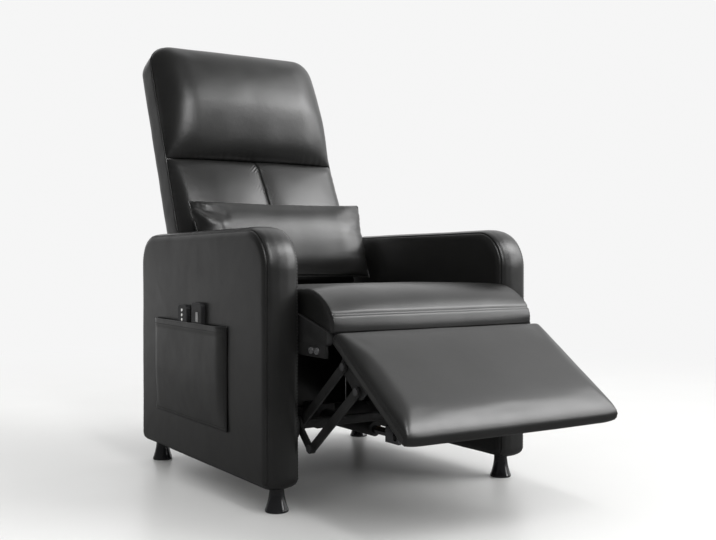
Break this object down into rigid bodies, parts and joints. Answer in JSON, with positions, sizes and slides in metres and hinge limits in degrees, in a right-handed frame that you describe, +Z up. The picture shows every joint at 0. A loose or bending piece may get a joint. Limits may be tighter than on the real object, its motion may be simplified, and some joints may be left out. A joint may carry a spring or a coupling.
{
  "type": "power recliner",
  "caption": "Upholstered power recliner on flared feet, with a reclining back, a linkage-driven footrest, a lumbar pillow and handsets in a side pocket.",
  "frame": {"origin": "on the floor under the middle of the chair as it stands, backrest and footrest part open", "axes": "+Z up, the sitter faces -Y, the sitter's right arm with the side pocket is at -X"},
  "size_m": [0.6805, 1.2715, 1.065],
  "materials": {
    "upholstery": "satin",
    "timber": "matte",
    "black_board": "matte",
    "dark_pin": "satin",
    "foot_gloss": "gloss",
    "zinc_steel": "satin",
    "black_steel": "satin",
    "bright_rod": "polished",
    "black_plastic": "matte",
    "white_key": "satin",
    "grey_key": "satin",
    "webbing": "matte"
  },
  "bodies": {
    "base": {"right_arm_cover": "upholstery", "left_arm_cover": "upholstery", "right_arm_frame": "timber", "left_arm_frame": "timber", "foot_nuts": "zinc_steel", "right_front_foot": "foot_gloss", "right_rear_foot": "foot_gloss", "left_front_foot": "foot_gloss", "left_rear_foot": "foot_gloss", "rear_panel": "upholstery", "power_inlet": "black_plastic", "rear_rail": "black_board", "right_seat_board": "black_board", "left_seat_board": "black_board", "right_seat_rail": "black_steel", "left_seat_rail": "black_steel", "seat_front_batten": "black_board", "seat_rear_board": "timber", "seat_webbing": "webbing", "seat_cushion": "upholstery", "shaft_plates": "black_steel", "hinge_plates": "black_steel", "mechanism_bolts": "zinc_steel", "footrest_motor": "black_plastic", "footrest_barrel": "black_plastic", "base_bar": "black_steel", "back_motor": "black_plastic", "back_barrel": "black_plastic", "seat_bar": "black_steel", "control_box": "black_plastic", "side_pocket": "upholstery"},
    "crank_shaft": {"cross_shaft": "black_steel", "right_crank": "black_steel", "left_crank": "black_steel", "elbow_pins": "dark_pin"},
    "swing_links": {"right_swing_link": "black_steel", "left_swing_link": "black_steel"},
    "footrest": {"footrest_pad": "upholstery", "footrest_board": "black_board", "right_footrest_bracket": "black_steel", "left_footrest_bracket": "black_steel", "footrest_pins": "dark_pin"},
    "push_links": {"right_push_link": "black_steel", "left_push_link": "black_steel"},
    "footrest_rod": {"footrest_rod": "bright_rod"},
    "backrest": {"back_tube": "black_steel", "back_straps": "black_steel", "back_panel": "timber", "back_cover": "upholstery", "head_cushion": "upholstery", "lumbar_cushion": "upholstery"},
    "back_rod": {"back_rod": "bright_rod"},
    "lumbar_pillow": {"lumbar_pillow": "upholstery"},
    "keypad_handset": {"keypad_handset": "black_plastic"},
    "top_key": {"top_key": "white_key"},
    "middle_key": {"middle_key": "white_key"},
    "bottom_key": {"bottom_key": "white_key"},
    "control_handset": {"control_handset": "black_plastic"},
    "rocker_key": {"rocker_key": "grey_key"}
  },
  "joints": [
    {"name": "crank_turn", "type": "hinge", "parent": "base", "child": "crank_shaft", "pos_m": [0, -0.2295, 0.167], "axis": [-1, 0, 0], "range_deg": [-55.5, 24]},
    {"name": "footrest_lift", "type": "hinge", "parent": "base", "child": "swing_links", "pos_m": [0, -0.2295, 0.167], "axis": [1, 0, 0], "range_deg": [-12.05, 5.24]},
    {"name": "footrest_tilt", "type": "hinge", "parent": "swing_links", "child": "footrest", "pos_m": [0, -0.39245, 0.29708], "axis": [-1, 0, 0], "range_deg": [-67.6, 29.29]},
    {"name": "push_link_turn", "type": "hinge", "parent": "footrest", "child": "push_links", "pos_m": [0, -0.43852, 0.25559], "axis": [1, 0, 0], "range_deg": [-67.6, 29.29]},
    {"name": "footrest_rod_stroke", "type": "slide", "parent": "base", "child": "footrest_rod", "axis": [0, -1, 0], "range_m": [-0.047, 0.021]},
    {"name": "back_recline", "type": "hinge", "parent": "base", "child": "backrest", "pos_m": [0, 0.3345, 0.385], "axis": [-1, 0, 0], "range_deg": [-8, 33]},
    {"name": "back_rod_stroke", "type": "slide", "parent": "base", "child": "back_rod", "axis": [0, -1, 0], "range_m": [-0.0085, 0.0345]},
    {"name": "pillow_lift_off", "type": "slide", "parent": "backrest", "child": "lumbar_pillow", "axis": [0, -0.9272, 0.3746], "range_m": [0, 0.25]},
    {"name": "keypad_lift_out", "type": "slide", "parent": "base", "child": "keypad_handset", "axis": [0, 0, 1], "range_m": [0, 0.16]},
    {"name": "control_lift_out", "type": "slide", "parent": "base", "child": "control_handset", "axis": [0, 0, 1], "range_m": [0, 0.16]},
    {"name": "top_key_press", "type": "slide", "parent": "keypad_handset", "child": "top_key", "axis": [1, 0, 0], "range_m": [0, 0.0008], "stiffness_N_per_m": 400},
    {"name": "middle_key_press", "type": "slide", "parent": "keypad_handset", "child": "middle_key", "axis": [1, 0, 0], "range_m": [0, 0.0008], "stiffness_N_per_m": 400},
    {"name": "bottom_key_press", "type": "slide", "parent": "keypad_handset", "child": "bottom_key", "axis": [1, 0, 0], "range_m": [0, 0.0008], "stiffness_N_per_m": 400},
    {"name": "rocker_tilt", "type": "hinge", "parent": "control_handset", "child": "rocker_key", "pos_m": [-0.3425, 0.0265, 0.3715], "axis": [0, 1, 0], "range_deg": [-4, 4], "stiffness_Nm_per_rad": 0.05}
  ],
  "couplings": [
    {"joint": "footrest_lift", "follows": "crank_turn", "ratio": 0.21622},
    {"joint": "footrest_tilt", "follows": "crank_turn", "ratio": 1.2162},
    {"joint": "push_link_turn", "follows": "crank_turn", "ratio": 1.2162},
    {"joint": "footrest_rod_stroke", "follows": "crank_turn", "m_per_rad": 0.047},
    {"joint": "back_rod_stroke", "follows": "back_recline", "m_per_rad": 0.0589}
  ]
}
